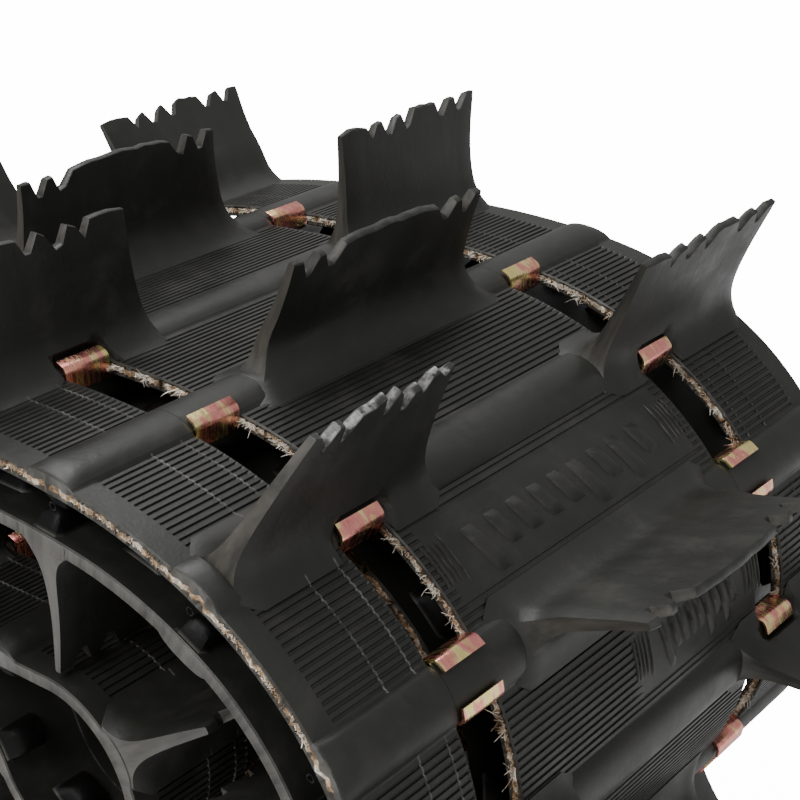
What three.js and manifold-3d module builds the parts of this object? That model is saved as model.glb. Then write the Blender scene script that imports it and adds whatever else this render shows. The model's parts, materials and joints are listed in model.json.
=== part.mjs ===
// Deep-lug snowmobile track, rolled up for shipping. The endless rubber belt is laid double, drive side to
// drive side, and the doubled strand is rolled. X runs along the roll's axis (the track's width), Z is up.
import * as THREE from 'three';
import { mergeVertices } from 'three/addons/utils/BufferGeometryUtils.js';
import Module from 'manifold-3d';

const wasm = await Module();
wasm.setup();
const rad = THREE.MathUtils.degToRad;
const deg = THREE.MathUtils.radToDeg;

// ---- Driving dimensions, mm. Heights are measured from the tensile cords, outwards ----
const PITCH = 88.9; // bar to bar
const PITCHES = 44; // an even number, because two kinds of bar alternate
const WIDTH = 406.4;
const BELT = { out: 3.5, in: -4, facet: 22.3 };
const BAR = { width: 27, crest: 19, shoulder: 5.5, top: 9, back: 13.8 };
const WINDOW = { centre: 118, width: 28.5 };
const ROD = { radius: 4.3, height: 2.2, sides: 10, clearance: 0.3 };
const CLIP = { width: 27.3, sheet: 1.5, gap: 0.3, opening: 8.5 };
const LUG = { foot: 8.5, stub: 22, hinge: 25, flex: 26, tip: 73.5, thick: 8, stubThick: 9 };
const SLIT = 0.5; // between two pieces of rubber that do not move apart
const HINGE_SLIT = 6; // room for the rubber to fold shut at a flexing hinge

// ---- The roll: the line midway between the two layers of the strand, as [length, turn] pieces ----
const HALF_GAP = 14.75; // from that line to the cords of either layer
const LAYER_STEP = 112; // from one turn of the strand to the next
const BACK_RADIUS = 79.3;
const SLOPE_AT_BAR_0 = 206.8; // heading of the cords at the front edge of bar 0
const bend = (radius, turn) => [radius * rad(turn), turn];
const SHOULDER = [120, 12];
const CROWN = [112, 3.5];
const FRONT = [[75.3, 7.6], [83.3, 21.7], [59.4, 25], bend(116.25, 28), bend(154, 100.2)];
const INSIDE = [
  [241.7, 0],
  bend(BACK_RADIUS, 162),
  [SHOULDER[0] - LAYER_STEP * rad(SHOULDER[1]), SHOULDER[1]],
  [51.4, 2],
];
const OUTER_FOLD = { radius: 33, spread: 45 };
const INNER_FOLD = { radius: 50, spread: 50 };

// Degrees of lean by bar: lugs in the roll lean to clear another layer, those outside as they were packed.
const LEAN = { 9: 12, 15: -20, 23: -8, 35: -8 };
const LEAN_OUTSIDE = { '-4': -20, '-3': 8, '-1': 18, 1: 15 };

const total = (pieces) => pieces.reduce((sum, [length]) => sum + length, 0);

// Half a turn from one layer into the other, bulging equally to both sides.
function evenFold({ radius, spread }) {
  const phi = deg(Math.acos((HALF_GAP + spread) / (radius + spread)));
  return [bend(spread, phi), bend(radius, 180 + 2 * phi), bend(spread, phi)].map(
    ([length, turn], i) => [length, i === 1 ? turn : -turn],
  );
}

// Half a turn that keeps the first layer straight and hangs below it.
function hangingFold({ radius, spread }) {
  const beta = deg(Math.acos((2 * HALF_GAP - radius + spread) / (radius + spread)));
  const run = (radius + spread) * Math.sin(rad(beta));
  return [[run, 0], bend(radius, 180 + beta), [spread * rad(beta), -beta]];
}

// The closed line of the cords. The tail takes what the rest leaves of the loop's length.
function cordLine() {
  const outerFold = evenFold(OUTER_FOLD);
  const innerFold = hangingFold(INNER_FOLD);
  const rolled = [SHOULDER, CROWN, ...FRONT, ...INSIDE];
  const tail = (PITCH * PITCHES - total(outerFold) - total(innerFold)) / 2 - total(rolled);
  const strand = [[tail, deg(tail / (BACK_RADIUS + LAYER_STEP))], ...rolled];
  const outer = strand.map(([length, turn]) => [length + HALF_GAP * rad(turn), turn]);
  const under = strand.map(([length, turn]) => [length - HALF_GAP * rad(turn), -turn]).reverse();
  const toBar0 = 5;
  return {
    pieces: [...outer, ...innerFold, ...under, ...outerFold],
    bar0: total(outer.slice(0, toBar0)),
    heading: rad(SLOPE_AT_BAR_0 - strand.slice(0, toBar0).reduce((sum, [, turn]) => sum + turn, 0)),
  };
}

function travel(start, distance) {
  const angle = (rad(start.turn) * distance) / start.length;
  const chord = angle === 0 ? distance : (2 * distance * Math.sin(angle / 2)) / angle;
  const course = start.heading + angle / 2;
  return {
    y: start.y + chord * Math.cos(course),
    z: start.z + chord * Math.sin(course),
    heading: start.heading + angle,
  };
}

const LINE = cordLine();
const STRETCHES = [];
let reached = { y: 0, z: 0, heading: LINE.heading };
let walked = 0;
for (const [length, turn] of LINE.pieces) {
  const stretch = { ...reached, length, turn, from: walked };
  STRETCHES.push(stretch);
  reached = travel(stretch, length);
  walked += length;
}

// Place, run and outward normal of the cords at a distance along the loop.
function frameAt(distance) {
  const loop = PITCH * PITCHES;
  const s = ((distance % loop) + loop) % loop;
  const stretch = STRETCHES.findLast((one) => one.from <= s);
  const { y, z, heading } = travel(stretch, s - stretch.from);
  return { y, z, run: [Math.cos(heading), Math.sin(heading)], out: [Math.sin(heading), -Math.cos(heading)] };
}

const frontEdge = (bar) => LINE.bar0 + bar * PITCH;
const barFrame = (bar) => frameAt(frontEdge(bar) - BAR.back);
const cut = (bar) => frontEdge(bar) + (PITCH - BAR.width) / 2; // middle of the window in front of a bar

const place = (frame, along, height) => [
  frame.y + along * frame.run[0] + height * frame.out[0],
  frame.z + along * frame.run[1] + height * frame.out[1],
];

// ---- Solids ----
function toManifold(geometry) {
  const bare = geometry.clone();
  bare.deleteAttribute('normal');
  bare.deleteAttribute('uv');
  const merged = mergeVertices(bare, 1e-4);
  const triVerts = new Uint32Array(merged.index.array);
  return new wasm.Manifold(
    new wasm.Mesh({ numProp: 3, vertProperties: merged.attributes.position.array, triVerts }),
  );
}

function toGeometry(manifold) {
  const mesh = manifold.getMesh();
  const geometry = new THREE.BufferGeometry();
  geometry.setAttribute('position', new THREE.BufferAttribute(mesh.vertProperties, 3));
  geometry.setIndex(new THREE.BufferAttribute(mesh.triVerts, 1));
  return geometry;
}

const join = (solids) => solids.reduce((sum, solid) => sum.add(solid));

// A side-view outline of [y, z] points, pulled along X.
function pulled(outline, xMin, xMax) {
  const shape = new THREE.Shape(outline.map(([y, z]) => new THREE.Vector2(y, z)));
  const geometry = new THREE.ExtrudeGeometry(shape, { depth: xMax - xMin, bevelEnabled: false });
  const turn = new THREE.Matrix4().makeBasis(
    new THREE.Vector3(0, 1, 0),
    new THREE.Vector3(0, 0, 1),
    new THREE.Vector3(1, 0, 0),
  );
  return geometry.applyMatrix4(turn.setPosition(xMin, 0, 0));
}

// A front-view outline of [x, height] points, given a thickness and stood on a bar, leaning about a height.
function stoodOn(bar, outline, thick, lean = 0, pivot = LUG.foot) {
  const frame = barFrame(bar);
  const shape = new THREE.Shape(outline.map(([x, height]) => new THREE.Vector2(x, height - pivot)));
  const geometry = new THREE.ExtrudeGeometry(shape, { depth: thick, bevelEnabled: false });
  geometry.translate(0, 0, -thick / 2);
  const out = new THREE.Vector3(0, ...frame.out);
  const across = new THREE.Vector3(1, 0, 0);
  out.applyAxisAngle(across, rad(lean));
  const basis = new THREE.Matrix4().makeBasis(across, out, across.clone().cross(out));
  return geometry.applyMatrix4(basis.setPosition(0, ...place(frame, 0, pivot)));
}

// ---- Belt ----
const EDGE = WIDTH / 2;
const STRIPS = [
  [-EDGE, -WINDOW.centre - WINDOW.width / 2],
  [-WINDOW.centre + WINDOW.width / 2, WINDOW.centre - WINDOW.width / 2],
  [WINDOW.centre + WINDOW.width / 2, EDGE],
];

function beltOutline(from, to) {
  const steps = Math.ceil((to - from) / BELT.facet);
  const frames = Array.from({ length: steps + 1 }, (_, i) => frameAt(from + ((to - from) * i) / steps));
  const outside = frames.map((frame) => place(frame, 0, BELT.out));
  const inside = frames.map((frame) => place(frame, 0, BELT.in));
  return [...outside, ...inside.reverse()];
}

function barOutline(bar) {
  const { width, crest, shoulder, top } = BAR;
  const half = [[width / 2, BELT.in], [width / 2, shoulder], [crest / 2, top]];
  const other = half.map(([along, height]) => [-along, height]).reverse();
  return [...half, ...other].map(([along, height]) => place(barFrame(bar), along, height));
}

function rodGeometry(bar, radius, length) {
  const [y, z] = place(barFrame(bar), 0, ROD.height);
  const geometry = new THREE.CylinderGeometry(radius, radius, length, ROD.sides);
  return geometry.rotateZ(Math.PI / 2).translate(0, y, z);
}

// ---- Lugs: centre lugs stand on odd bars, a left and a right lug on even bars ----
const isCentre = (bar) => Math.abs(bar % 2) === 1;
const mirror = (outline) => outline.map(([x, height]) => [-x, height]);
const CENTRE_LUG = { foot: 86, neck: 72, tip: 70, crown: 1.5 };
const OUTER_LUG = { footIn: 85, neckIn: 86.5, tipIn: 88, edge: 203, tipOut: 208 };

// The outside lugs that reach further in than the rest.
const REACHING = { left: { '-4': 75, '-2': 75, 0: 75, 2: 75 }, right: { 0: 78 } };

// Teeth along a lug's top edge, as [x, depth below the tip]. An outer lug's start past its inner tip.
const CENTRE_TEETH = [[0, -CENTRE_LUG.crown], [35, 1], [42, 10], [48, 1], [57, 10], [62, 1], [70, 1]];
const OUTER_TEETH = [
  [109, 0], [112, 9], [120, 0], [128, 9], [137, 0], [144, 9], [150, 0],
  [170, 0], [176, 9], [187, 0], [193, 9], [200, 0], [208, 1],
];

function sides(bar) {
  return isCentre(bar) ? ['centre'] : ['left', 'right'];
}

function lugOutline(side, bottom, top, teeth = []) {
  const { foot, neck, tip } = CENTRE_LUG;
  if (side === 'centre') {
    const base = bottom < LUG.stub ? foot : neck;
    const end = top > LUG.stub ? tip : neck;
    const crest = teeth.map(([x, depth]) => [x, top - depth]);
    const right = [[base, bottom], ...(crest.length ? crest.toReversed() : [[end, top]])];
    const left = mirror(right).toReversed();
    return [...right, ...(crest.length ? left.slice(1) : left)];
  }
  const { footIn, neckIn, tipIn, edge, tipOut } = OUTER_LUG;
  const crest = teeth.map(([x, depth]) => [x, top - depth]).toReversed();
  const plain = top > LUG.stub ? [[tipOut, top], [tipIn, top]] : [[edge + 1, top], [neckIn, top]];
  const right = [
    [bottom < LUG.stub ? footIn : neckIn, bottom],
    [bottom < LUG.stub ? edge : edge + 1, bottom],
    ...(crest.length ? crest : plain),
  ];
  return side === 'right' ? right : mirror(right);
}

const wholeLugs = (bar) =>
  sides(bar).map((side) =>
    stoodOn(bar, lugOutline(side, LUG.foot, LUG.tip), LUG.thick, LEAN[bar]),
  );
const lugStubs = (bar) =>
  sides(bar).map((side) => stoodOn(bar, lugOutline(side, LUG.foot, LUG.stub), LUG.stubThick));

function flexingLug(bar, side) {
  const reach = REACHING[side]?.[bar] ?? OUTER_LUG.tipIn;
  const teeth = side === 'centre' ? CENTRE_TEETH : [[reach, 0], ...OUTER_TEETH];
  const outline = lugOutline(side, LUG.flex, LUG.tip, teeth);
  return stoodOn(bar, outline, LUG.thick, LEAN_OUTSIDE[bar], LUG.hinge);
}

// Belt with its bars and what stands on them, from the window behind the first bar to the one before the last.
function rubber(first, last, { slits = [SLIT, SLIT], stubs = false, bores = false } = {}) {
  const outline = beltOutline(cut(first - 1) + slits[0] / 2, cut(last) - slits[1] / 2);
  const bars = Array.from({ length: last - first + 1 }, (_, i) => first + i);
  const solids = [
    ...STRIPS.map(([xMin, xMax]) => pulled(outline, xMin, xMax)),
    ...bars.map((bar) => pulled(barOutline(bar), -EDGE, EDGE)),
    ...bars.flatMap((bar) => (stubs ? lugStubs(bar) : wholeLugs(bar))),
  ];
  const whole = join(solids.map(toManifold));
  if (!bores) return toGeometry(whole);
  const drills = bars.map((bar) => rodGeometry(bar, ROD.radius + ROD.clearance, WIDTH + 10));
  return toGeometry(drills.map(toManifold).reduce((rest, drill) => rest.subtract(drill), whole));
}

// Steel clip wrapped round a bar in a window column, with its tabs crimped over the crest.
function clip(bar, side) {
  const { width, sheet, gap, opening } = CLIP;
  const inner = { half: BAR.width / 2 + gap, low: BELT.in - gap, high: BAR.top + gap };
  const right = [
    [inner.half + sheet, inner.low - sheet],
    [inner.half + sheet, inner.high + sheet],
    [opening, inner.high + sheet],
    [opening, inner.high],
    [inner.half, inner.high],
    [inner.half, inner.low],
  ];
  const left = right.map(([along, height]) => [-along, height]);
  const round = [...right.slice(0, 6), ...left.toReversed()];
  const outline = round.map(([along, height]) => place(barFrame(bar), along, height));
  const centre = side === 'left' ? -WINDOW.centre : WINDOW.centre;
  return pulled(outline, centre - width / 2, centre + width / 2);
}

// ---- Assembly ----
const RUBBER = { color: 0x2f2f2e, roughness: 0.62, metalness: 0 };
const GLASS_FIBRE = { color: 0xa79a6c, roughness: 0.55, metalness: 0 };
const ZINC = { color: 0xc6a262, roughness: 0.34, metalness: 0.85 };

const group = new THREE.Group();

function add(name, geometry, look) {
  const mesh = new THREE.Mesh(geometry, new THREE.MeshStandardMaterial(look));
  mesh.name = name;
  group.add(mesh);
}

function addBarFittings(label, bar) {
  add(`clip_left_${label}`, clip(bar, 'left'), ZINC);
  add(`clip_right_${label}`, clip(bar, 'right'), ZINC);
  for (const side of sides(bar)) add(`lug_${side}_${label}`, flexingLug(bar, side), RUBBER);
}

const SECTIONS = 4;
const UNDER_BAR_1 = 28; // bar of the lower layer that lies beneath bar -1

// The part of the roll that stays put: bars 0 to 2 at the front, then round to the inside and back out.
const hinged = { stubs: true, bores: true };
for (const bar of [0, 1, 2]) {
  const slits = [bar === 0 ? HINGE_SLIT : SLIT, SLIT];
  add(`belt_front_${bar}`, rubber(bar, bar, { ...hinged, slits }), RUBBER);
  add(`rod_front_${bar}`, rodGeometry(bar, ROD.radius, WIDTH), GLASS_FIBRE);
  addBarFittings(`front_${bar}`, bar);
}
const CORE = [
  ['belt_front_lower', 3, 4],
  ['belt_bottom', 5, 7],
  ['belt_back', 8, 10],
  ['belt_inner_top', 11, 13],
  ['belt_inner_fold_start', 14, 14],
  ['belt_inner_fold_turn', 15, 15],
  ['belt_inner_fold_end', 16, 16],
  ['belt_inner_under', 17, 18],
  ['belt_inner_back', 19, 20],
  ['belt_inner_low', 21, 21],
  ['belt_inner_bottom', 22, 23],
  ['belt_inner_front_lower', 24, 25],
  ['belt_inner_front_upper', 26, 27],
];
for (const [name, first, last] of CORE) {
  const slits = last === UNDER_BAR_1 - 1 ? [SLIT, HINGE_SLIT] : [SLIT, SLIT];
  add(name, rubber(first, last, { slits }), RUBBER);
}

// The end of the strand that can be peeled off the roll: four sections of both layers, and the tail.
for (let section = 1; section <= SECTIONS; section += 1) {
  const top = -section;
  const under = UNDER_BAR_1 - 1 + section;
  const slits = [HINGE_SLIT, HINGE_SLIT];
  add(`belt_top_${section}`, rubber(top, top, { ...hinged, slits }), RUBBER);
  add(`belt_under_${section}`, rubber(under, under, { slits }), RUBBER);
  add(`rod_top_${section}`, rodGeometry(top, ROD.radius, WIDTH), GLASS_FIBRE);
  addBarFittings(`top_${section}`, top);
}
const firstOfTail = UNDER_BAR_1 + SECTIONS;
const lastOfTail = PITCHES - SECTIONS - 1;
add('belt_tail_start', rubber(firstOfTail, firstOfTail, { slits: [HINGE_SLIT, SLIT] }), RUBBER);
add('belt_tail_under', rubber(firstOfTail + 1, 34), RUBBER);
add('belt_tail_fold', rubber(35, 36), RUBBER);
add('belt_tail_top', rubber(37, lastOfTail, { slits: [SLIT, HINGE_SLIT] }), RUBBER);

// Origin below the middle of the whole roll, on the plane that its lowest lugs stand on.
const box = new THREE.Box3().setFromObject(group);
group.position.set(0, -(box.min.y + box.max.y) / 2, -box.min.z);

export default group;
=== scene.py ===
"""Deep-lug snowmobile track, rolled up: the looks of every piece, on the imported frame.

The belt is made flat, in (x, along, height) millimetres, and wrapped round the line of its tensile cords.
x runs across the belt, along is the distance round the loop and height is measured outwards from the cords.
"""
import math

import bmesh
import bpy
import numpy as np
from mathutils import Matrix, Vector
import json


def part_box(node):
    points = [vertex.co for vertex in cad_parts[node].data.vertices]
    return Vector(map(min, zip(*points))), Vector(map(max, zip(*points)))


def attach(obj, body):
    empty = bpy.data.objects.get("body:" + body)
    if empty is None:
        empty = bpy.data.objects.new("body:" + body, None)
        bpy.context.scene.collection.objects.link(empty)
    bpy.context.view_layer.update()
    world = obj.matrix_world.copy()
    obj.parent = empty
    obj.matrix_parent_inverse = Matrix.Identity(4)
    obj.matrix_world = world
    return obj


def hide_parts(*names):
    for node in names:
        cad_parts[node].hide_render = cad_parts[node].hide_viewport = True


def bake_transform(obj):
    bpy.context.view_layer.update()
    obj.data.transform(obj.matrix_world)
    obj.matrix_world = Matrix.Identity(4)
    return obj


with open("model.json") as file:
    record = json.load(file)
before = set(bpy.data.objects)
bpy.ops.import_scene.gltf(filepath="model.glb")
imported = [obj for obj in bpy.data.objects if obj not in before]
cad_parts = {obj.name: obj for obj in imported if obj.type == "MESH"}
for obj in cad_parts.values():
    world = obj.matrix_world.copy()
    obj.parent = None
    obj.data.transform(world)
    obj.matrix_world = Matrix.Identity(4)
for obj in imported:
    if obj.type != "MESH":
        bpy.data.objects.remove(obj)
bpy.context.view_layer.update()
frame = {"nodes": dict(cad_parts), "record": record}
MM = 0.001

# ---- Driving dimensions, mm and degrees: the same roll as the solids ----
PITCH = 88.9
PITCHES = 44
LOOP = PITCH * PITCHES
EDGE = 203.2
FACE_OUT = 3.5
FACE_IN = -4.0
BAR_HALF = 13.5
BAR_TOP = 9.0
BAR_BACK = 13.8
ROD_RADIUS = 4.3
ROD_HEIGHT = 2.2
ROD_COVER = 4.5  # rubber over a rod's end
WINDOW_NEAR = 103.75  # a window's walls, from the middle of the belt
WINDOW_FAR = 132.25
WINDOW_CENTRE = 118.0
CLIP_HALF = 13.65
LUG_TIP = 73.5
LUG_HINGE = 25.0

HALF_GAP = 14.75
LAYER_STEP = 112.0
BACK_RADIUS = 79.3
SLOPE_AT_BAR_0 = 206.8
OUTER_FOLD = (33.0, 45.0)
INNER_FOLD = (50.0, 50.0)
LEAN = {9: 12.0, 15: -20.0, 23: -8.0, 35: -8.0, -4: -20.0, -3: 8.0, -1: 18.0, 1: 15.0}

BEFORE_0 = 8  # bars counted backwards from bar 0, with negative numbers
SECTIONS = 4  # hinged sections between the part that stays put and the tail
FIRST_UNDER = 28  # bar of the lower layer that lies beneath bar -1
SEEN = range(-5, 4)  # bars of the outer turn, which carry the finest detail


# ---- The line of the cords ----
def bend(radius, turn):
    return (radius * math.radians(turn), turn)


def even_fold(radius, spread):
    phi = math.degrees(math.acos((HALF_GAP + spread) / (radius + spread)))
    flare = bend(spread, phi)[0]
    return [(flare, -phi), bend(radius, 180 + 2 * phi), (flare, -phi)]


def hanging_fold(radius, spread):
    beta = math.degrees(math.acos((2 * HALF_GAP - radius + spread) / (radius + spread)))
    run = (radius + spread) * math.sin(math.radians(beta))
    return [(run, 0.0), bend(radius, 180 + beta), (spread * math.radians(beta), -beta)]


def total(pieces):
    return sum(length for length, _ in pieces)


class CordLine:
    """The closed line of the cords, made of arcs and straights."""

    def __init__(self):
        shoulder = (120.0, 12.0)
        front = [(75.3, 7.6), (83.3, 21.7), (59.4, 25.0), bend(116.25, 28), bend(154, 100.2)]
        inner_shoulder = (shoulder[0] - LAYER_STEP * math.radians(shoulder[1]), shoulder[1])
        inside = [(241.7, 0.0), bend(BACK_RADIUS, 162), inner_shoulder, (51.4, 2.0)]
        outer_fold = even_fold(*OUTER_FOLD)
        inner_fold = hanging_fold(*INNER_FOLD)
        rolled = [shoulder, (112.0, 3.5), *front, *inside]
        tail = (LOOP - total(outer_fold) - total(inner_fold)) / 2 - total(rolled)
        strand = [(tail, math.degrees(tail / (BACK_RADIUS + LAYER_STEP))), *rolled]
        outer = [(length + HALF_GAP * math.radians(turn), turn) for length, turn in strand]
        under = [(length - HALF_GAP * math.radians(turn), -turn) for length, turn in reversed(strand)]
        pieces = [*outer, *inner_fold, *under, *outer_fold]
        self.bar_0 = total(outer[:5])
        self.length = np.array([length for length, _ in pieces])
        self.turn = np.radians([turn for _, turn in pieces])
        self.start = np.concatenate([[0.0], np.cumsum(self.length)[:-1]])
        heading = math.radians(SLOPE_AT_BAR_0 - sum(turn for _, turn in strand[:5]))
        y, z = 0.0, 0.0
        starts = []
        for length, turn in zip(self.length, self.turn):
            starts.append((y, z, heading))
            chord = 2 * length * math.sin(turn / 2) / turn if turn else length
            y += chord * math.cos(heading + turn / 2)
            z += chord * math.sin(heading + turn / 2)
            heading += turn
        self.starts = np.array(starts)
        self.shift = np.zeros(2)

    def at(self, distance):
        """y, z and heading at distances along the loop, in mm and radians."""
        s = np.mod(np.asarray(distance, float), LOOP)
        i = np.clip(np.searchsorted(self.start, s, side="right") - 1, 0, len(self.start) - 1)
        y0, z0, heading = self.starts[i].T
        part = s - self.start[i]
        angle = self.turn[i] * part / self.length[i]
        half = angle / 2
        chord = part * np.where(np.abs(half) < 1e-9, 1.0, np.sin(half) / np.where(half == 0, 1, half))
        y = y0 + chord * np.cos(heading + half) + self.shift[0]
        z = z0 + chord * np.sin(heading + half) + self.shift[1]
        return y, z, heading + angle

    def wrap(self, points):
        """(x, along, height) to the row frame, in metres."""
        y, z, heading = self.at(points[:, 1])
        height = points[:, 2]
        out = np.stack([points[:, 0], y + height * np.sin(heading), z - height * np.cos(heading)], 1)
        return out * MM


LINE = CordLine()


def front_edge(bar):
    return LINE.bar_0 + bar * PITCH


def middle(bar):
    return front_edge(bar) - BAR_BACK


def on_bar(bar, points):
    """(x, ahead, height) in the flat frame of one bar to the row frame, in metres."""
    y, z, heading = (float(v) for v in LINE.at(middle(bar)))
    ahead, height = points[:, 1], points[:, 2]
    run_y, run_z = math.cos(heading), math.sin(heading)
    ys = y + ahead * run_y + height * run_z
    zs = z + ahead * run_z - height * run_y
    return np.stack([points[:, 0], ys, zs], 1) * MM


def anchor_line():
    """Moves the line so that the rod of bar 0 lies where its solid is."""
    low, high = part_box("rod_front_0")
    rod = on_bar(0, np.array([[0.0, 0.0, ROD_HEIGHT]]))[0]
    LINE.shift = np.array([(low[i] + high[i]) / 2 - rod[i] for i in (1, 2)]) / MM


anchor_line()


def counted(bar):
    """A bar's number, or an array of them, within one turn of the loop."""
    return (bar + BEFORE_0) % PITCHES - BEFORE_0


def section_of(bar):
    """0 for the part that stays put, 1 to 4 for the hinged sections, 5 for the tail."""
    bar = counted(bar)
    if -SECTIONS <= bar < 0:
        return -bar
    if FIRST_UNDER <= bar < FIRST_UNDER + SECTIONS:
        return bar - FIRST_UNDER + 1
    return 0 if 0 <= bar < FIRST_UNDER else SECTIONS + 1


def body_name(section):
    return "core" if section == 0 else "tail" if section > SECTIONS else f"section_{section}"


def label(bar):
    return f"front_{bar}" if bar >= 0 else f"top_{-bar}"


def smooth(value, low, high):
    t = np.clip((value - low) / (high - low), 0, 1)
    return t * t * (3 - 2 * t)


# ---- Mesh building ----
class Shell:
    """Quads gathered from several parts, each with its flat place, its material slot and its wear."""

    def __init__(self):
        self.points, self.flat, self.wear, self.faces, self.slots = [], [], [], [], []
        self.count = 0

    def add(self, points, flat, faces, slot=0, wear=0.0):
        faces = np.asarray(faces)
        self.faces.extend((faces + self.count).tolist())
        self.slots.extend(np.broadcast_to(slot, len(faces)).tolist())
        self.points.append(points)
        self.flat.append(flat)
        self.wear.append(np.broadcast_to(wear, len(points)).astype(float))
        self.count += len(points)

    def make(self, name, materials, sharp=38):
        mesh = bpy.data.meshes.new(name)
        mesh.from_pydata(np.concatenate(self.points).tolist(), [], self.faces)
        face_outwards(mesh)
        for material in materials:
            mesh.materials.append(material)
        mesh.polygons.foreach_set("material_index", self.slots)
        place = mesh.attributes.new("flat", "FLOAT_VECTOR", "POINT")
        place.data.foreach_set("vector", (np.concatenate(self.flat) * MM).ravel())
        wear = mesh.attributes.new("wear", "FLOAT", "POINT")
        wear.data.foreach_set("value", np.concatenate(self.wear))
        mesh.shade_smooth()
        mesh.set_sharp_from_angle(angle=math.radians(sharp))
        piece = bpy.data.objects.new(name, mesh)
        bpy.context.scene.collection.objects.link(piece)
        return piece


def face_outwards(mesh):
    work = bmesh.new()
    work.from_mesh(mesh)
    bmesh.ops.recalc_face_normals(work, faces=work.faces)
    work.to_mesh(mesh)
    work.free()


def tube_faces(rows, columns):
    """Quads of a tube: each row is a closed ring of columns."""
    i, j = np.meshgrid(np.arange(rows - 1), np.arange(columns), indexing="ij")
    a = i * columns + j
    b = i * columns + (j + 1) % columns
    return np.stack([a, b, b + columns, a + columns], -1).reshape(-1, 4)


def sheet_faces(rows, columns):
    i, j = np.meshgrid(np.arange(rows - 1), np.arange(columns - 1), indexing="ij")
    a = i * columns + j
    return np.stack([a, a + 1, a + columns + 1, a + columns], -1).reshape(-1, 4)


# ---- Belt ----
RIBS = 15
RIB_DEPTH = 0.9
RIB_END = 189.0
BAR_END = 11.0  # length of a bar's rounded end
BAR_END_COLUMNS = (192.0, 195.5, 198.5, 200.8)
MOULD_LINES = (158.0, 140.5)
RIB_ROWS = (0.0, 0.09, 0.6, 0.69)  # foot and top of a ridge's two flanks, as shares of one rib
SPAN = PITCH - 2 * BAR_HALF
RIB_MARGIN = 2.0
RIB_STEP = (SPAN - 2 * RIB_MARGIN) / RIBS
RIB_TOP = (0.05, 0.65)  # where a ridge's top begins and ends, as shares of one rib
WALL_MARGIN = 1.5  # smooth belt beside a window
MOULD_LINE_HALF = 0.15
PLATES = {0: (-82.0, 82.0), 1: (8.0, 92.0), 14: (-82.0, 82.0), 29: (-82.0, 82.0)}  # smooth name plates
PLATE_EDGES = (95.6, 96.4)
PLATE_MARGIN = 14.0
PLATE_RIBS = 2.4  # ribs between a bar and the middle of a plate
PLATE_DEPTH = 0.35
PLATE_FRAME_DEPTH = 0.7
ON_PLATE = 0.45  # what the rib mask says on a plate


def bar_rows():
    return np.linspace(-BAR_HALF, BAR_HALF, 17)


def span_rows():
    """Distances from a bar's middle to the rows of the span ahead of it."""
    start = BAR_HALF + RIB_MARGIN
    ribs = [start + RIB_STEP * (rib + share) for rib in range(RIBS) for share in RIB_ROWS]
    return np.array([BAR_HALF, BAR_HALF + 1.0, *ribs, PITCH - BAR_HALF - RIB_MARGIN, PITCH - BAR_HALF - 1.0,
                     PITCH - BAR_HALF])


def bar_profile(ahead):
    """Height of the half-round bar over the belt's face."""
    share = np.clip(np.abs(ahead) / (BAR_HALF + 1.2), 0, 1)
    return (BAR_TOP - FACE_OUT) * np.power(1 - np.power(share, 2.3), 0.72)


def bar_end(x):
    """How much of a bar's height is left towards its rounded ends."""
    inset = EDGE - np.abs(x)
    return 0.4 + 0.6 * np.sqrt(smooth(inset, -2.0, BAR_END))


def rib_mask(x, bar):
    """1 where the belt is ribbed, 0 on its smooth margins, mould lines and plates."""
    away = np.abs(x)
    mask = ((away < RIB_END) & (away > WINDOW_FAR + WALL_MARGIN)) | (away < WINDOW_NEAR - WALL_MARGIN)
    for line in MOULD_LINES:
        mask &= np.abs(away - line) > MOULD_LINE_HALF
    mask = mask.astype(float)
    if bar in PLATES:
        low, high = PLATES[bar]
        mask[(x > low - PLATE_MARGIN) & (x < high + PLATE_MARGIN)] = ON_PLATE
    return mask


def outer_height(x, along):
    """Height of the outer face at places on the belt."""
    local = np.mod(along - middle(0) + BAR_HALF, PITCH) - BAR_HALF
    bar = np.floor((along - middle(0) + BAR_HALF) / PITCH + 1e-6).astype(int)
    height = FACE_OUT + bar_profile(local) * bar_end(x)
    far = local > PITCH - BAR_HALF - 0.01
    height[far] = FACE_OUT
    phase = (local - BAR_HALF - RIB_MARGIN) / RIB_STEP
    inside = (phase >= 0) & (phase < RIBS)
    share = np.mod(phase + 1e-4, 1)
    groove = inside & ((share > RIB_TOP[1]) | (share < RIB_TOP[0]))
    for one in np.unique(bar):
        here = bar == one
        mask = rib_mask(x[here], counted(one))
        plate = mask == ON_PLATE
        inner = (phase[here] > PLATE_RIBS) & (phase[here] < RIBS - PLATE_RIBS)
        on_plate = np.where(inner, PLATE_DEPTH, groove[here] * PLATE_FRAME_DEPTH)
        depth = np.where(plate, on_plate, mask * groove[here] * RIB_DEPTH)
        height[here] -= depth * inside[here]
    return height


def strip_columns(low, high):
    """x of the outer columns of a strip, closer at its edges and its mould lines."""
    marks = [RIB_END - 0.4, RIB_END + 0.4, *PLATE_EDGES, *BAR_END_COLUMNS]
    marks += [line + offset for line in MOULD_LINES for offset in (-0.4, 0.0, 0.4)]
    marks += [-mark for mark in marks]
    even = np.arange(low + 1.6, high - 1.5, 7.5)
    near = [low + 0.7, high - 0.7]
    return np.unique(np.round([*even, *near, *[m for m in marks if low + 1 < m < high - 1]], 2))


CORD_BAND = (1.5, -1.6)  # heights of the frayed band on each wall
CORNER = 0.8  # height that a rounded corner takes from a wall
FRAY = 0.8
MOULDED_FRAY = 0.2  # share of it where the edge is moulded and not cut


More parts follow.
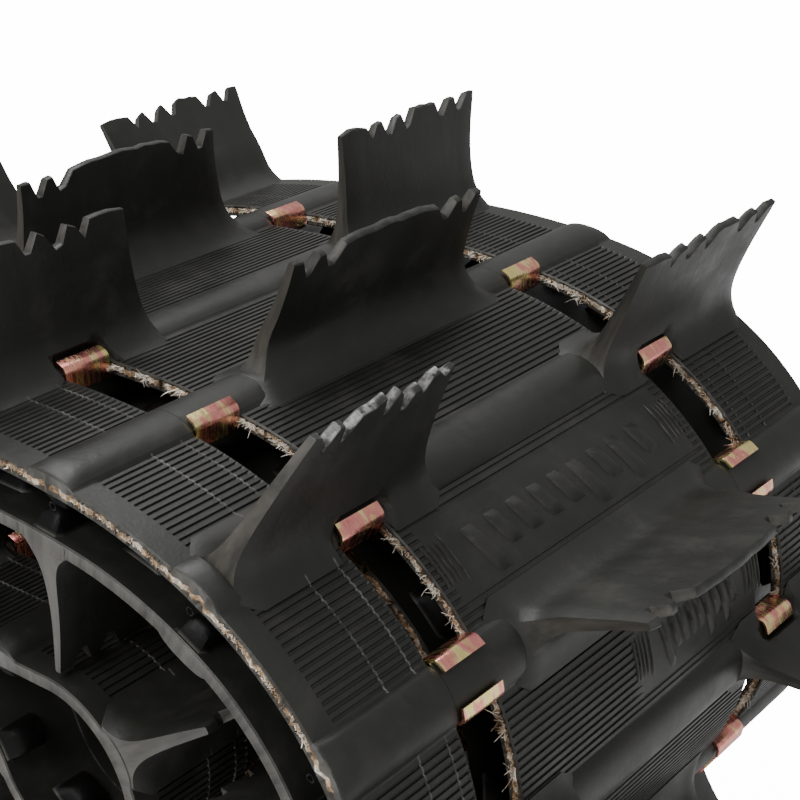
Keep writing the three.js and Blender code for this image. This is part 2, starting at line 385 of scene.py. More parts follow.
def ragged(along, seed, size):
    """A repeatable rough edge, as an offset along the belt's edge."""
    rng = np.random.default_rng(seed)
    value = np.zeros_like(along)
    for wavelength in (23.0, 9.7, 4.1, 2.3):
        value += np.sin(along * 2 * math.pi / wavelength + rng.uniform(0, 6.3)) * wavelength ** 0.25
    return size * value / 4 + rng.normal(0, size * 0.5, len(along))


def add_strip(shell, rows, low, high, seed):
    """One strip of belt between two edges, as a tube along the belt with frayed cords at both edges."""
    bar = counted(np.round((rows - middle(0)) / PITCH))
    cut_edge = (bar >= SEEN[0]) & (bar <= SEEN[-1])
    outer = strip_columns(low, high)
    inner = np.linspace(high - 0.7, low + 0.7, max(4, int((high - low) / 18)))
    columns = len(outer) + len(inner) + 2 * (2 + len(CORD_BAND))
    x = np.empty((len(rows), columns))
    height = np.empty_like(x)
    slot = np.zeros((len(rows) - 1, columns), int)
    n = len(outer)
    x[:, :n] = outer
    height[:, :n] = outer_height(np.tile(outer, len(rows)), np.repeat(rows, n)).reshape(-1, n)
    wall_top_right = height[:, n - 1] - CORNER
    wall_top_left = height[:, 0] - CORNER
    fray_right = ragged(rows, seed, FRAY) * np.where(cut_edge | (high < EDGE), 1.0, MOULDED_FRAY)
    fray_left = ragged(rows, seed + 1, FRAY) * np.where(cut_edge | (low > -EDGE), 1.0, MOULDED_FRAY)
    walls = [(high, wall_top_right), (high + fray_right - 0.3, CORD_BAND[0]),
             (high + fray_right - 0.5, CORD_BAND[1]), (high, FACE_IN + CORNER)]
    for offset, (wall_x, wall_height) in enumerate(walls):
        x[:, n + offset] = wall_x
        height[:, n + offset] = wall_height
    slot[:, n + 1] = cut_edge[1:] if high == EDGE else 1
    m = n + len(walls)
    x[:, m:m + len(inner)] = inner
    height[:, m:m + len(inner)] = FACE_IN
    m += len(inner)
    walls = [(low, FACE_IN + CORNER), (low - fray_left + 0.5, CORD_BAND[1]),
             (low - fray_left + 0.3, CORD_BAND[0]), (low, wall_top_left)]
    for offset, (wall_x, wall_height) in enumerate(walls):
        x[:, m + offset] = wall_x
        height[:, m + offset] = wall_height
    slot[:, m + 1] = cut_edge[1:] if low == -EDGE else 1
    flat = np.stack([x, np.repeat(rows[:, None], columns, 1), height], -1).reshape(-1, 3)
    faces = tube_faces(len(rows), columns)[:, ::-1]
    shell.add(LINE.wrap(flat), flat, faces, slot.ravel())
    for end, order in ((0, slice(None)), (len(rows) - 1, slice(None, None, -1))):
        ring = (end * columns + np.arange(columns))[order]
        shell.faces.append((ring + shell.count - len(flat)).tolist())
        shell.slots.append(0)


def add_bridge(shell, bar, side):
    """The bar where it crosses a window column, under its clip."""
    rows = bar_rows()
    top = FACE_OUT + bar_profile(rows)
    ring_along = np.concatenate([rows, rows[::-1]])
    ring_height = np.concatenate([top, np.full(len(rows), FACE_IN)])
    xs = np.array([WINDOW_NEAR - 0.5, WINDOW_NEAR + 4, WINDOW_FAR - 4, WINDOW_FAR + 0.5]) * side
    flat = np.array([[x, middle(bar) + a, h] for x in xs for a, h in zip(ring_along, ring_height)])
    shell.add(LINE.wrap(flat), flat, tube_faces(len(xs), len(ring_along)))


def add_pad(shell, bar, centre, size, heights, power=2.6, tilt=0.0, slot=0):
    """A moulded pad with rounded sides on either face. centre is (x, ahead of the bar's middle)."""
    n = 9
    u, v = np.meshgrid(np.linspace(-1, 1, n), np.linspace(-1, 1, n))
    dome = (1 - np.abs(u) ** power) * (1 - np.abs(v) ** power)
    dome = np.power(np.clip(dome, 0, 1), 0.5)
    spread = 1 - 0.18 * dome
    x = centre[0] + u * spread * size[0] / 2 + tilt * v * size[1] / 2
    along = middle(bar) + centre[1] + v * spread * size[1] / 2
    height = heights[0] + (heights[1] - heights[0]) * dome
    flat = np.stack([x, along, height], -1).reshape(-1, 3)
    faces = sheet_faces(n, n)
    shell.add(LINE.wrap(flat), flat, faces if heights[1] > heights[0] else faces[:, ::-1], slot)


DRIVE_LUGS = (-176, -84, 84, 176)


def add_drive_lugs(shell, bar):
    """Drive lugs half way between the bars on the inner face, and a boss beneath each end of a bar."""
    foot = FACE_IN + 0.4
    for x in DRIVE_LUGS:
        add_pad(shell, bar, (x, PITCH / 2), (22, 26), (foot, FACE_IN - 8.5))
    for side in (-1, 1):
        add_pad(shell, bar, (side * 190, 0), (24, 17), (foot, FACE_IN - 9.5), 4)
        if bar in SEEN:
            add_boss_ring(shell, bar, side)


def add_boss_ring(shell, bar, side):
    """A moulded ring on the side of a bar's inner boss."""
    turns, rounds = 20, 8
    a, b = np.meshgrid(np.linspace(0, 2 * math.pi, turns, endpoint=False),
                       np.linspace(0, 2 * math.pi, rounds, endpoint=False), indexing="ij")
    radius = 1.9 + 0.4 * np.cos(b)
    x = side * (201.5 + 0.4 * np.sin(b))
    flat = np.stack([x, middle(bar) + radius * np.cos(a), FACE_IN - 5.8 + radius * np.sin(a)], -1)
    i, j = np.meshgrid(np.arange(turns), np.arange(rounds), indexing="ij")
    ahead, across = (i + 1) % turns, (j + 1) % rounds
    faces = np.stack([i * rounds + j, ahead * rounds + j, ahead * rounds + across, i * rounds + across], -1)
    flat = flat.reshape(-1, 3)
    shell.add(LINE.wrap(flat), flat, faces.reshape(-1, 4))


def add_plate_marks(shell, bar):
    """Plain slanted marks on a name plate, with slits and an end bar. They spell nothing."""
    low, high = PLATES[bar]
    face = FACE_OUT - 0.6
    count = 9
    step = (high - low - 16) / count
    for i in range(count):
        x = low + 8 + step * (i + 0.5)
        tall = 27 if i in (0, 5, 7) else 19
        centre = (x, PITCH / 2 + (tall - 19) / 2)
        add_pad(shell, bar, centre, (step * 0.6, tall), (face, face + 2.4), 5, 0.22)
    for side in (-1, 1):
        edge = high + 3 if side > 0 else low - 3
        add_pad(shell, bar, (edge, PITCH / 2), (2.0, 30), (face, face + 1.2), 6)
        for i in range(4):
            add_pad(shell, bar, (edge + side * (4 + 3 * i), PITCH / 2), (1.5, 26), (face, face + 1.1), 6)


def add_fibres(shell, wall_x, direction, along_low, along_high, count, reach, seed):
    """Loose cord ends that stick out of a cut wall of the belt, facing direction."""
    rng = np.random.default_rng(seed)
    points, faces = [], []
    steps = 5
    for i in range(count):
        along = rng.uniform(along_low, along_high)
        height = rng.uniform(-1.6, 1.5)
        length = reach * (0.25 + 0.75 * rng.uniform() ** 2.5) * (0.6 + 0.5 * math.sin(along / 3.7))
        lift = rng.uniform(-0.9, 0.7)
        drift = rng.uniform(-1.1, 1.1)
        curl = rng.uniform(-0.8, 0.8)
        t = np.linspace(0, 1, steps)
        x = wall_x + direction * (length * t * (1 - 0.25 * t) - 0.6)
        y = along + length * (drift * t + curl * t * t)
        z = height + length * (lift * t * t + 0.15 * t)
        radius = rng.uniform(0.2, 0.62) * (1 - 0.7 * t)
        angles = np.radians([0, 120, 240])
        ring_y = y[:, None] + radius[:, None] * np.cos(angles)
        ring_z = z[:, None] + radius[:, None] * np.sin(angles)
        ring_x = np.repeat(x[:, None], 3, 1)
        points.append(np.stack([ring_x, ring_y, ring_z], -1).reshape(-1, 3))
        faces.append(tube_faces(steps, 3) + i * steps * 3)
    flat = np.concatenate(points)
    shell.add(LINE.wrap(flat), flat, np.concatenate(faces), 2)


def add_frays(shell, bar, low, high):
    """Fibres on the window walls and the edges of the span ahead of a bar."""
    share = 1.0 if bar in SEEN else 0.1
    walls = ((-WINDOW_NEAR, -1, 190, 6.5), (WINDOW_FAR, -1, 190, 6.5), (-WINDOW_FAR, 1, 34, 3.5),
             (WINDOW_NEAR, 1, 34, 3.5), (-EDGE, -1, 190, 2.2), (EDGE, 1, 60, 1.4))
    for i, (x, direction, count, reach) in enumerate(walls):
        if abs(x) == EDGE and bar not in SEEN:
            continue
        add_fibres(shell, x, direction, low, high, max(3, int(count * share)), reach, 1000 + bar * 17 + i)


STRIPS = ((-EDGE, -WINDOW_FAR), (-WINDOW_NEAR, WINDOW_NEAR), (WINDOW_FAR, EDGE))


def belt_rows(first, last):
    """Rows from the first bar's rear to the last bar's front."""
    rows = [middle(first) + bar_rows()]
    for bar in range(first, last):
        rows.append(middle(bar) + span_rows()[1:-1])
        rows.append(middle(bar + 1) + bar_rows())
    return np.concatenate(rows)


def belt_piece(name, rows, bars, spans):
    """A length of belt: its strips, the bars' bridges over the windows, and what stands on the spans."""
    shell = Shell()
    for i, (low, high) in enumerate(STRIPS):
        add_strip(shell, rows, low, high, 100 * abs(int(rows[0])) + i)
    for bar in bars:
        for side in (-1, 1):
            add_bridge(shell, bar, side)
    for bar in spans:
        add_drive_lugs(shell, bar)
        low, high = middle(bar) + BAR_HALF, middle(bar) + PITCH - BAR_HALF
        add_frays(shell, bar, low, high)
        if bar in PLATES:
            add_plate_marks(shell, bar)
    return shell.make(name, [RUBBER, CORD, FIBRE])


# ---- Lugs ----
# The toothed top edges, as (x, height).
CENTRE_CREST = (
    (0, 73.5), (22, 72.6), (35, 71), (41, 62.5), (45, 62), (49, 70.5),
    (53, 70.5), (57, 62), (60, 61.5), (64, 71), (70, 70),
)
OUTER_CREST = (
    (88, 71), (96, 72.5), (109, 71.5), (113, 63), (117, 70), (122, 72), (126, 64), (130, 63),
    (135, 71), (139, 72.5), (144, 64), (147, 65), (151, 73), (160, 73.2), (170, 72.5), (174.5, 64),
    (178, 63.5), (183, 71.5), (188, 72), (191.5, 64), (195, 64), (200, 72), (207, 72.5),
)
LUG_LEVELS = (2.5, 3.6, 5, 6.8, 9, 11.5, 14.5, 18, 22, 27, 33, 40, 47, 54)
TOOTH_ROOT = 60.0
TORN_ABOVE = 0.5  # wear from which a lug has lost its outer corner


def is_centre(bar):
    return bar % 2 == 1


def lug_sides(bar):
    return ("centre",) if is_centre(bar) else ("left", "right")


def crest_of(side):
    if side == "centre":
        right = list(CENTRE_CREST)
        return [(-x, height) for x, height in right[:0:-1]] + right
    right = list(OUTER_CREST)
    return right if side == "right" else [(-x, height) for x, height in reversed(right)]


INNER_TIP = 87.0  # from the middle of the belt to an outer lug's inner tip
REACHING = {("left", bar): 74.0 for bar in (-4, -2, 0, 2)} | {("right", 0): 78.0}


def ends_at(bar, side, height, torn=0.0):
    """x of a lug's two ends at a height."""
    foot = np.exp(-(height - FACE_OUT) / 9.0)
    if side == "centre":
        half = 70 + 3.0 * smooth(height, 60, 20) + 17 * foot
        return -half, half
    tip = REACHING.get((side, bar), INNER_TIP)
    inner = tip - 2.0 * smooth(height, 50, 10) - 6 * foot
    rise = np.clip((height - 8) / 62, 0, 1)
    outer = EDGE - 0.4 - 2.5 * np.sin(rise * math.pi) + (4.0 if side == "right" else -3.0) * rise ** 2
    outer = outer - torn * (11.0 + 29.0 * rise ** 1.5)
    return (inner, outer) if side == "right" else (-outer, -inner)


def half_thickness(x, height):
    """Half of a lug's thickness: thin at the tip, flared at the foot, narrow above a clip."""
    rise = np.clip((height - FACE_OUT) / (LUG_TIP - FACE_OUT), 0, 1)
    half = 2.3 + 3.6 * (1 - rise) + 14.5 * np.exp(-(height - FACE_OUT) / 7.0)
    away = np.abs(x)
    over_clip = smooth(away, 101.5, 103.5) * (1 - smooth(away, 132.5, 134.5))
    narrow = 5.0 + np.clip(height - 10.5, 0, None) * 1.1
    return half + over_clip * (np.minimum(half, narrow) - half)


def lug_columns(side):
    crest = crest_of(side)
    columns = []
    for (x0, h0), (x1, h1) in zip(crest[:-1], crest[1:]):
        steps = max(1, int(abs(x1 - x0) / 4.5))
        columns += [(x0 + (x1 - x0) * i / steps, h0 + (h1 - h0) * i / steps) for i in range(steps)]
    return np.array([*columns, crest[-1]])


def bent(points, lean):
    """Leans a lug about its hinge line, starting to bend below it."""
    angle = math.radians(lean) * smooth(points[:, 2], 12, 40)
    ahead, up = points[:, 1], points[:, 2] - LUG_HINGE
    turned = points.copy()
    turned[:, 1] = ahead * np.cos(angle) + up * np.sin(angle)
    turned[:, 2] = up * np.cos(angle) - ahead * np.sin(angle) + LUG_HINGE
    return turned


def add_lug(shell, bar, side, wear=0.0):
    """A paddle lug: a ring of columns round its outline, at heights from its foot to its toothed crest.
    A worn lug has a torn crest and has lost its outer corner."""
    crest = lug_columns(side)
    low, high = crest[0, 0], crest[-1, 0]
    share = (crest[:, 0] - low) / (high - low)
    rng = np.random.default_rng(500 + bar * 3 + len(side))
    tips = crest[:, 1] + rng.normal(0, 0.25 + 1.8 * wear, len(crest))
    torn = wear if wear > TORN_ABOVE else 0.0
    if torn:
        tips -= 3.0 * smooth(-crest[:, 0], 120, 190)
    rings = []
    levels = [(np.full(len(share), height), 0.0) for height in (*LUG_LEVELS, TOOTH_ROOT)]
    levels += [(TOOTH_ROOT + (tips - TOOTH_ROOT) * 0.55, 0.0), (tips - 0.6, 0.0), (tips, 0.8)]
    for height, inset in levels:
        left, right = ends_at(bar, side, height, torn)
        x = left + (right - left) * share
        half = half_thickness(x, height) - inset
        end = np.clip(np.minimum(share, 1 - share) * (high - low) / 3.0, 0, 1)
        half = half * (0.72 + 0.28 * np.sqrt(end))
        front = np.stack([x, half, height], 1)
        back = np.stack([x, -half, height], 1)[::-1]
        rings.append(np.concatenate([front, back]))
    columns = len(rings[0])
    flat = np.concatenate(rings)
    faces = tube_faces(len(rings), columns)
    n = len(share)
    top = (len(rings) - 1) * columns
    cap = [(top + i, top + i + 1, top + columns - 2 - i, top + columns - 1 - i) for i in range(n - 1)]
    worn = np.zeros(len(flat))
    worn[top:] = wear
    placed = on_bar(bar, bent(flat, LEAN.get(counted(bar), 0.0)))
    flat = flat + np.array([0, middle(bar), 0])
    shell.add(placed, flat, np.concatenate([faces, cap]), 0, worn)


# ---- Steel clips and glass-fibre rods ----
CLIP_IN = 14.0
CLIP_LOW = -4.5
CLIP_HIGH = 9.5
CLIP_SHEET = 1.4
CLIP_OPEN = 8.6  # where the tab over the crest ends, from the bar's middle
CLIP_REAR = 2.6  # height of the plain rear flange of the clips on top
CLIP_ROUND = 3.2
HEEL_ROUND = 1.5
TAB_DROP = 1.5  # how far the bend's centre lies below the tab


def arc(centre, radius, start, stop, steps=5):
    angles = np.radians(np.linspace(start, stop, steps))
    return [(centre[0] + radius * math.cos(a), centre[1] + radius * math.sin(a)) for a in angles]


def clip_outline(rear_tab):
    """Closed outline of the bent sheet, as (ahead, height), from the front tab round below to the rear."""
    shoulder = (CLIP_IN - CLIP_ROUND, CLIP_HIGH - CLIP_ROUND - TAB_DROP)
    heel = (CLIP_IN - HEEL_ROUND, CLIP_LOW + HEEL_ROUND)
    outer, inner = CLIP_ROUND + CLIP_SHEET, CLIP_ROUND
    heel_out, heel_in = arc(heel, HEEL_ROUND + CLIP_SHEET, 0, -90), arc(heel, HEEL_ROUND, 0, -90)
    front_out = [(CLIP_OPEN, CLIP_HIGH + 1.1)] + arc(shoulder, outer, 72, 0, 6) + heel_out
    front_in = [(CLIP_OPEN, CLIP_HIGH - 0.3)] + arc(shoulder, inner, 72, 0, 6) + heel_in
    if rear_tab:
        rear_out = [(-a, h) for a, h in reversed(front_out)]
        rear_in = [(-a, h) for a, h in front_in]
    else:
        rear_out = [(-a, h) for a, h in reversed(heel_out)] + [(-CLIP_IN - CLIP_SHEET, CLIP_REAR)]
        rear_in = [(-CLIP_IN, CLIP_REAR)] + [(-a, h) for a, h in heel_in]
    return [*front_out, *rear_out, *rear_in, *reversed(front_in)]


def add_clip(shell, bar, side):
    outline = np.array(clip_outline(rear_tab=bar > 0))
    centre = np.array([0.0, 2.5])
    rings = []
    edge = CLIP_HALF - 0.3
    for x, inset in ((-CLIP_HALF, 0.25), (-edge, 0.0), (0, 0.0), (edge, 0.0), (CLIP_HALF, 0.25)):
        ring = outline - (outline - centre) * inset / 30
        rings.append(np.column_stack([np.full(len(ring), side * WINDOW_CENTRE + x), ring]))
    flat = np.concatenate(rings)
    n = len(outline)
    faces = tube_faces(len(rings), n)[:, ::-1].tolist()
    shell.add(on_bar(bar, flat), flat + np.array([0, middle(bar), 0]), faces)
    ends = range(n), range((len(rings) - 1) * n, len(rings) * n)
    half = n // 2
    for end, turn in zip(ends, (1, -1)):
        ring = list(end)
        for i in range(half - 1):
            quad = [ring[i], ring[i + 1], ring[n - 2 - i], ring[n - 1 - i]][::turn]
            shell.faces.append([v + shell.count - len(flat) for v in quad])
            shell.slots.append(0)


def add_rod(shell, bar, _):
    """A pultruded rod. Its chamfered ends lie under a skin of rubber."""
    sides = 24
    angles = np.linspace(0, 2 * math.pi, sides, endpoint=False)
    end = EDGE - ROD_COVER
    radius, chamfered = ROD_RADIUS - 0.4, ROD_RADIUS - 0.9
    rings = []
    for x, r in ((-end, chamfered), (-end + 0.5, radius), (end - 0.5, radius), (end, chamfered)):
        ring = [np.full(sides, x), r * np.cos(angles), ROD_HEIGHT + r * np.sin(angles)]
        rings.append(np.column_stack(ring))
    flat = np.concatenate(rings)
    faces = tube_faces(len(rings), sides)[:, ::-1]
    shell.add(on_bar(bar, flat), flat + np.array([0, middle(bar), 0]), faces)
    for end, turn in ((0, 1), (len(rings) - 1, -1)):
        ring = [end * sides + i + shell.count - len(flat) for i in range(sides)]
        shell.faces.append(ring[::turn])
        shell.slots.append(0)


# ---- Materials ----
class Nodes:
    """Short calls for a material's node tree."""

    def __init__(self, name):
        self.material = bpy.data.materials.new(name)
        self.material.use_nodes = True
        self.tree = self.material.node_tree
        self.shader = self.tree.nodes["Principled BSDF"]
        self.place = self.node("ShaderNodeAttribute", attribute_name="flat").outputs["Vector"]

    def node(self, kind, inputs=None, **settings):
        node = self.tree.nodes.new(kind)
        for key, value in settings.items():
            setattr(node, key, value)
        for key, value in (inputs or {}).items():
            self.put(node.inputs[key], value)
        return node

    def put(self, socket, value):
        if isinstance(value, bpy.types.NodeSocket):
            self.tree.links.new(value, socket)
        else:
            socket.default_value = value

    def noise(self, scale, detail=4.0, rough=0.55, stretch=(1, 1, 1), distortion=0.0):
        mapping = self.node("ShaderNodeMapping", {"Vector": self.place, "Scale": stretch})
        inputs = {"Vector": mapping.outputs[0], "Scale": scale, "Detail": detail, "Roughness": rough,
                  "Distortion": distortion}
        return self.node("ShaderNodeTexNoise", inputs).outputs["Fac"]

    def ramp(self, value, stops):
        ramp = self.node("ShaderNodeValToRGB", {"Fac": value})
        elements = ramp.color_ramp.elements
        while len(elements) < len(stops):
            elements.new(0.5)
        for element, (position, colour) in zip(elements, stops):
            element.position = position
            element.color = (*colour, 1)
        return ramp.outputs["Color"]

    def grey(self, value, low, high, start=0.3, stop=0.7):
        inputs = {"Value": value, "From Min": start, "From Max": stop, "To Min": low, "To Max": high}
        return self.node("ShaderNodeMapRange", inputs).outputs["Result"]

    def mix(self, factor, a, b):
        node = self.node("ShaderNodeMix", data_type="RGBA")
        colours = [socket for socket in node.inputs if socket.type == "RGBA"]
        self.put(node.inputs["Factor"], factor)
        self.put(colours[0], a)
        self.put(colours[1], b)
        return next(socket for socket in node.outputs if socket.type == "RGBA")

    def math(self, operation, a, b=0.0):
        node = self.node("ShaderNodeMath", operation=operation)
        self.put(node.inputs[0], a)
        self.put(node.inputs[1], b)
        return node.outputs[0]

    def bump(self, value, strength, distance, normal=None):
        inputs = {"Height": value, "Strength": strength, "Distance": distance}
        if normal is not None:
            inputs["Normal"] = normal
        return self.node("ShaderNodeBump", inputs).outputs["Normal"]

    def finish(self, **inputs):
        for key, value in inputs.items():
            self.put(self.shader.inputs[key.replace("_", " ")], value)
        return self.material


def rubber_material():
    n = Nodes("rubber")
    wear = n.node("ShaderNodeAttribute", attribute_name="wear").outputs["Fac"]
    broad = n.noise(9, 3)
    fine = n.noise(420, 3)
    streak = n.noise(60, 4, 0.6, (1, 1, 0.16))
    dust = n.noise(34, 6, 0.7)
    base = n.ramp(broad, ((0.3, (0.0100, 0.0102, 0.0082)), (0.7, (0.0180, 0.0182, 0.0148))))
    streaked = n.mix(n.grey(streak, 0.0, 0.4, 0.5, 0.78), base, (0.03, 0.029, 0.026, 1))
    dusty = n.mix(n.grey(dust, 0.0, 0.45, 0.52, 0.76), streaked, (0.048, 0.045, 0.037, 1))
    normal = n.node("ShaderNodeNewGeometry").outputs["Normal"]
    normal_x = n.node("ShaderNodeSeparateXYZ", {"Vector": normal}).outputs["X"]
    place = n.node("ShaderNodeSeparateXYZ", {"Vector": n.place}).outputs
    height = place["Z"]
    # Painted light: faces turned across the belt (lug ends, belt edges and window walls) above the inner
    # face get a lighter, streaked colour, as if lit by the lamp at the side
    facing = n.grey(n.math("ABSOLUTE", normal_x), 0.0, 1.0, 0.6, 0.9)
    side = n.math("MULTIPLY", facing, n.grey(height, 0.0, 1.0, -0.0052, -0.0042))
    lit_side_streaks = n.noise(110, 4, 0.6, (1, 1, 0.1))
    edge = n.ramp(lit_side_streaks, ((0.35, (0.022, 0.02, 0.016)), (0.65, (0.075, 0.07, 0.058))))
    colour_with_painted_light = n.mix(side, dusty, edge)
    # Painted shade: the inner face and what stands below it (drive lugs, bosses) are darkened to near
    # black, standing in for the shade in the gap between the layers
    inner = n.grey(height, 1.0, 0.0, -0.0056, -0.0044)
    colour_with_painted_light = n.mix(n.math("MULTIPLY", inner, 0.9), colour_with_painted_light, (0.003, 0.003, 0.003, 1))
    on_face = n.grey(height, 1.0, 0.0, 0.0040, 0.0046)
    for line in MOULD_LINES:
        away = n.math("ABSOLUTE", n.math("ADD", place["X"], line * MM))
        broken = n.grey(streak, 0.1, 1.0, 0.42, 0.6)
        flash = n.math("MULTIPLY", n.grey(away, 0.75, 0.0, 0.0003, 0.0006), broken)
        colour_with_painted_light = n.mix(n.math("MULTIPLY", flash, on_face), colour_with_painted_light, (0.16, 0.16, 0.145, 1))
    ragged_wear = n.math("MULTIPLY", wear, n.grey(n.noise(150, 5, 0.65), 0.05, 1.0, 0.48, 0.6))
    colour = n.mix(ragged_wear, colour_with_painted_light, (0.22, 0.225, 0.22, 1))
    rough = n.math("SUBTRACT", n.grey(dust, 0.37, 0.58, 0.35, 0.7), n.math("MULTIPLY", wear, 0.15))
    normal = n.bump(fine, 0.16, 0.0006, n.bump(streak, 0.12, 0.002, n.bump(dust, 0.25, 0.0012)))
    # The painted-shade mask of the inner face also lowers its specular level, so it stays dark
    sheen = n.math("SUBTRACT", 0.42, n.math("MULTIPLY", inner, 0.3))
    return n.finish(Base_Color=colour, Roughness=rough, Normal=normal, IOR=1.5, Specular_IOR_Level=sheen)


def cord_material(name, bright):
    n = Nodes(name)
    grain = n.noise(300, 5, 0.7, (1, 1, 1))
    patch = n.noise(110, 4, 0.65)
    threads = n.noise(900, 2, 0.5, (0.15, 1, 1))
    dark, tan, cream = (0.03, 0.02, 0.014), (0.46, 0.29, 0.15), (0.97, 0.91, 0.78)
    colour = n.ramp(patch, ((0.42 - bright, dark), (0.54 - bright, tan), (0.68 - bright, cream)))
    spotted = n.mix(n.grey(grain, 0.0, 0.75, 0.45, 0.65), colour, (0.035, 0.026, 0.02, 1))
    normal = n.bump(threads, 0.5, 0.0008, n.bump(grain, 0.6, 0.001))
    return n.finish(Base_Color=spotted, Roughness=0.82, Normal=normal)


def zinc_material():
    """Yellow-passivated zinc: gold with pink, copper and green films, brushed and lightly scratched."""
    n = Nodes("zinc_steel")
    film = n.noise(85, 3, 0.5, (1.5, 0.55, 0.55), 0.6)
    stops = ((0.3, (0.9, 0.76, 0.25)), (0.43, (1.0, 0.82, 0.4)), (0.5, (0.95, 0.45, 0.32)),
             (0.6, (0.86, 0.3, 0.3)), (0.72, (0.9, 0.74, 0.3)))
    colour = n.ramp(film, stops)
    scratch = n.noise(260, 4, 0.6, (3.0, 1, 0.12))
    dirt = n.noise(240, 5, 0.7)
    tarnished = n.mix(n.grey(dirt, 0.0, 0.6, 0.56, 0.76), colour, (0.3, 0.13, 0.07, 1))
    rough = n.grey(scratch, 0.16, 0.36)
    normal = n.bump(scratch, 0.25, 0.0004, n.bump(dirt, 0.2, 0.0005))
    return n.finish(Base_Color=tarnished, Metallic=1.0, Roughness=rough, Normal=normal)


def rod_material():
    n = Nodes("glass_fibre")
    strands = n.noise(1500, 2, 0.6, (0.05, 1, 1))
    smear = n.noise(200, 4)
    colour = n.ramp(strands, ((0.35, (0.05, 0.045, 0.03)), (0.65, (0.24, 0.21, 0.14))))
    smeared = n.mix(n.grey(smear, 0.2, 0.85, 0.35, 0.6), colour, (0.02, 0.02, 0.019, 1))
    return n.finish(Base_Color=smeared, Roughness=0.38, Normal=n.bump(strands, 0.3, 0.0004))


RUBBER = rubber_material()
CORD = cord_material("cord_edge", 0.03)
FIBRE = cord_material("cord_fibre", 0.16)
ZINC = zinc_material()
ROD = rod_material()


# ---- Pieces ----
def place_point(along, height=0.0):
    return tuple(float(v) for v in LINE.wrap(np.array([[0.0, along, height]]))[0])


def belt_nodes(body):
    return [node for node in frame["record"]["behaviour"]["bodies"][body] if node.startswith("belt")]


def make_belt():
    last = FIRST_UNDER - 1
    core = belt_piece("belt_core", belt_rows(0, last), range(last + 1), range(last))
    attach(core, "core")
    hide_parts(*belt_nodes("core"))
    first, last = FIRST_UNDER + SECTIONS, PITCHES - SECTIONS - 1
    tail = belt_piece("belt_tail", belt_rows(first, last), range(first, last + 1), range(first, last))
    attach(tail, "tail")
    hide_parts(*belt_nodes("tail"))
    for section in range(1, SECTIONS + 1):
        for layer, bar in (("top", -section), ("under", FIRST_UNDER - 1 + section)):
            rows = middle(bar) + bar_rows()
            piece = belt_piece(f"belt_{layer}_{section}_bar", rows, [bar], [])
            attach(piece, body_name(section))
            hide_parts(f"belt_{layer}_{section}")


def make_bending_spans():
    """Spans of belt that cross a hinge, baked in place in the rolled shape."""
    for section in range(1, SECTIONS + 2):
        top, under = -section, FIRST_UNDER - 2 + section
        for layer, bar in (("top", top), ("under", under)):
            rows = middle(bar) + span_rows()
            piece = belt_piece(f"belt_{layer}_span_{section}", rows, [], [bar])
            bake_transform(piece)


def make_lugs():
    """Lugs of the outer turn bend at their feet. The others are gathered by body."""
    gathered = {}
    for bar in range(-SECTIONS, PITCHES - SECTIONS):
        body = body_name(section_of(bar))
        for side in lug_sides(bar):
            node = f"lug_{side}_{label(bar)}"
            if node not in frame["nodes"]:
                add_lug(gathered.setdefault(body, Shell()), bar, side)
                continue
            shell = Shell()
            worn = 1.0 if (bar, side) == (0, "left") else 0.08
            add_lug(shell, bar, side, worn)
            piece = shell.make(f"{node}_paddle", [RUBBER])
            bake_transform(piece)
            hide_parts(node)
    for body, shell in gathered.items():
        piece = shell.make(f"lugs_{body}", [RUBBER])
        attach(piece, body)


def make_fittings(kind, add, material, sides):
    """One detailed piece for each clip or rod that has a solid, and the rest gathered by body."""
    gathered = {}
    for bar in range(-SECTIONS, PITCHES - SECTIONS):
        body = body_name(section_of(bar))
        for word, side in sides:
            node = f"{kind}_{word}{label(bar)}"
            if node not in frame["nodes"]:
                add(gathered.setdefault(body, Shell()), bar, side)
                continue
            shell = Shell()
            add(shell, bar, side)
            piece = shell.make(f"{node}_detail", [material], 50)
            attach(piece, body)
            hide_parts(node)
    for body, shell in gathered.items():
        piece = shell.make(f"{kind}s_{body}", [material], 50)
        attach(piece, body)


# ---- Stage ----
WORLD_LIGHT = 0.5
BACKDROP = 14.0  # how strongly the floor and the world glow towards the camera


def make_floor():
    n = Nodes("floor")
    grain = n.node("ShaderNodeTexNoise", {"Scale": 60.0, "Detail": 3.0}).outputs["Fac"]
    seen = n.node("ShaderNodeLightPath").outputs["Is Camera Ray"]
    material = n.finish(Base_Color=(0.93, 0.93, 0.93, 1), Roughness=n.grey(grain, 0.75, 0.85),
                        Emission_Color=(1, 1, 1, 1), Emission_Strength=n.math("MULTIPLY", seen, BACKDROP))
    mesh = bpy.data.meshes.new("floor")
    size = 30.0  # metres from the middle to each side
    corners = [(-size, -size, 0), (size, -size, 0), (size, size, 0), (-size, size, 0)]
    mesh.from_pydata(corners, [], [(0, 1, 2, 3)])
    mesh.materials.append(material)
    floor = bpy.data.objects.new("floor", mesh)
    bpy.context.scene.collection.objects.link(floor)


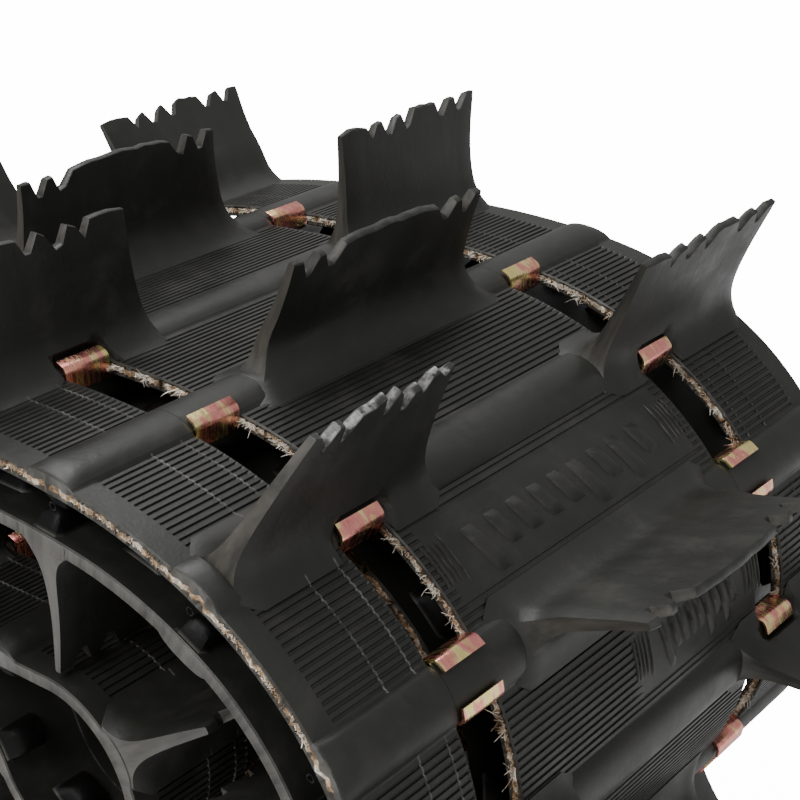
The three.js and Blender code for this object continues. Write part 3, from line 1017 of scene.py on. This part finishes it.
def area_light(name, offset, target, size, power, colour=(1, 1, 1)):
    data = bpy.data.lights.new(name, "AREA")
    data.shape = "RECTANGLE"
    data.size, data.size_y = size
    data.energy = power
    data.color = colour
    light = bpy.data.objects.new(name, data)
    light.location = Vector(target) + Vector(offset)
    light.rotation_euler = (-Vector(offset)).to_track_quat("-Z", "Y").to_euler()
    bpy.context.scene.collection.objects.link(light)


def make_stage():
    make_floor()
    centre = (0.0, -0.1, 0.35)
    area_light("key", (-2.0, 0.2, 2.0), centre, (1.6, 1.2), 52)
    area_light("top", (0.2, 1.2, 2.5), centre, (2.2, 1.6), 70)
    area_light("fill", (-0.6, -3.0, 1.6), centre, (2.4, 1.6), 6)
    make_world()


def make_world():
    """A soft even light, seen by the camera as the same white as the floor."""
    world = bpy.data.worlds.new("studio")
    world.use_nodes = True
    tree = world.node_tree
    seen = tree.nodes.new("ShaderNodeLightPath").outputs["Is Camera Ray"]
    strength = tree.nodes.new("ShaderNodeMapRange")
    tree.links.new(seen, strength.inputs["Value"])
    strength.inputs["To Min"].default_value = WORLD_LIGHT
    strength.inputs["To Max"].default_value = BACKDROP
    background = tree.nodes["Background"]
    background.inputs["Color"].default_value = (1, 1, 1, 1)
    tree.links.new(strength.outputs["Result"], background.inputs["Strength"])
    bpy.context.scene.world = world


def make_camera():
    """Placed from the front edge of bar 0, the nearest bar on top."""
    azimuth, elevation = math.radians(-50.1), math.radians(25.5)
    offset = Vector((-0.5837, -0.4133, 0.3624))
    data = bpy.data.cameras.new("camera")
    data.sensor_width = 36
    data.lens = 74.9
    camera = bpy.data.objects.new("camera", data)
    back = Vector((math.sin(azimuth) * math.cos(elevation), -math.cos(azimuth) * math.cos(elevation),
                   math.sin(elevation)))
    camera.location = Vector(place_point(front_edge(0))) + offset
    camera.rotation_euler = back.to_track_quat("Z", "Y").to_euler()
    bpy.context.scene.collection.objects.link(camera)
    bpy.context.scene.camera = camera


make_camera()
make_stage()
make_belt()
make_bending_spans()
make_lugs()
make_fittings("clip", add_clip, ZINC, (("left_", -1), ("right_", 1)))
make_fittings("rod", add_rod, ROD, (("", None),))
